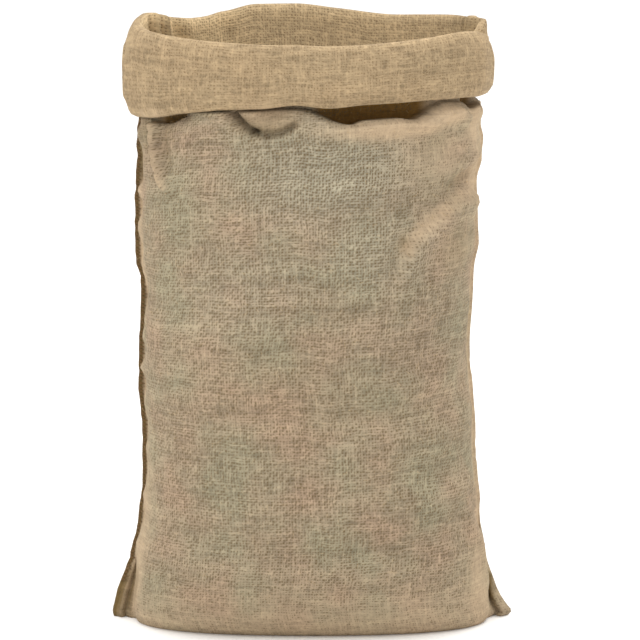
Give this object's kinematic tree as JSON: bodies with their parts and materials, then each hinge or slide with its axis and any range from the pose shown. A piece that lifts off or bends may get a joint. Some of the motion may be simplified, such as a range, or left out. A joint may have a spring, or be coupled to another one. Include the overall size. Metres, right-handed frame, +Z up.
{
  "type": "hessian sack",
  "caption": "Open hessian sack standing upright, its mouth turned down outside as a cuff, with an overlocked side seam and bottom corner ears.",
  "frame": {"origin": "middle of the sack's footprint, on the floor it stands on", "axes": "+X to the sack's right seen from the front, +Y to its back, +Z up"},
  "size_m": [0.4226, 0.2856, 0.6387],
  "materials": {
    "hessian": "rough plain weave, undyed",
    "jute_thread": "dark overlock sewing thread"
  },
  "bodies": {
    "root": {"sack": "hessian"}
  },
  "joints": []
}
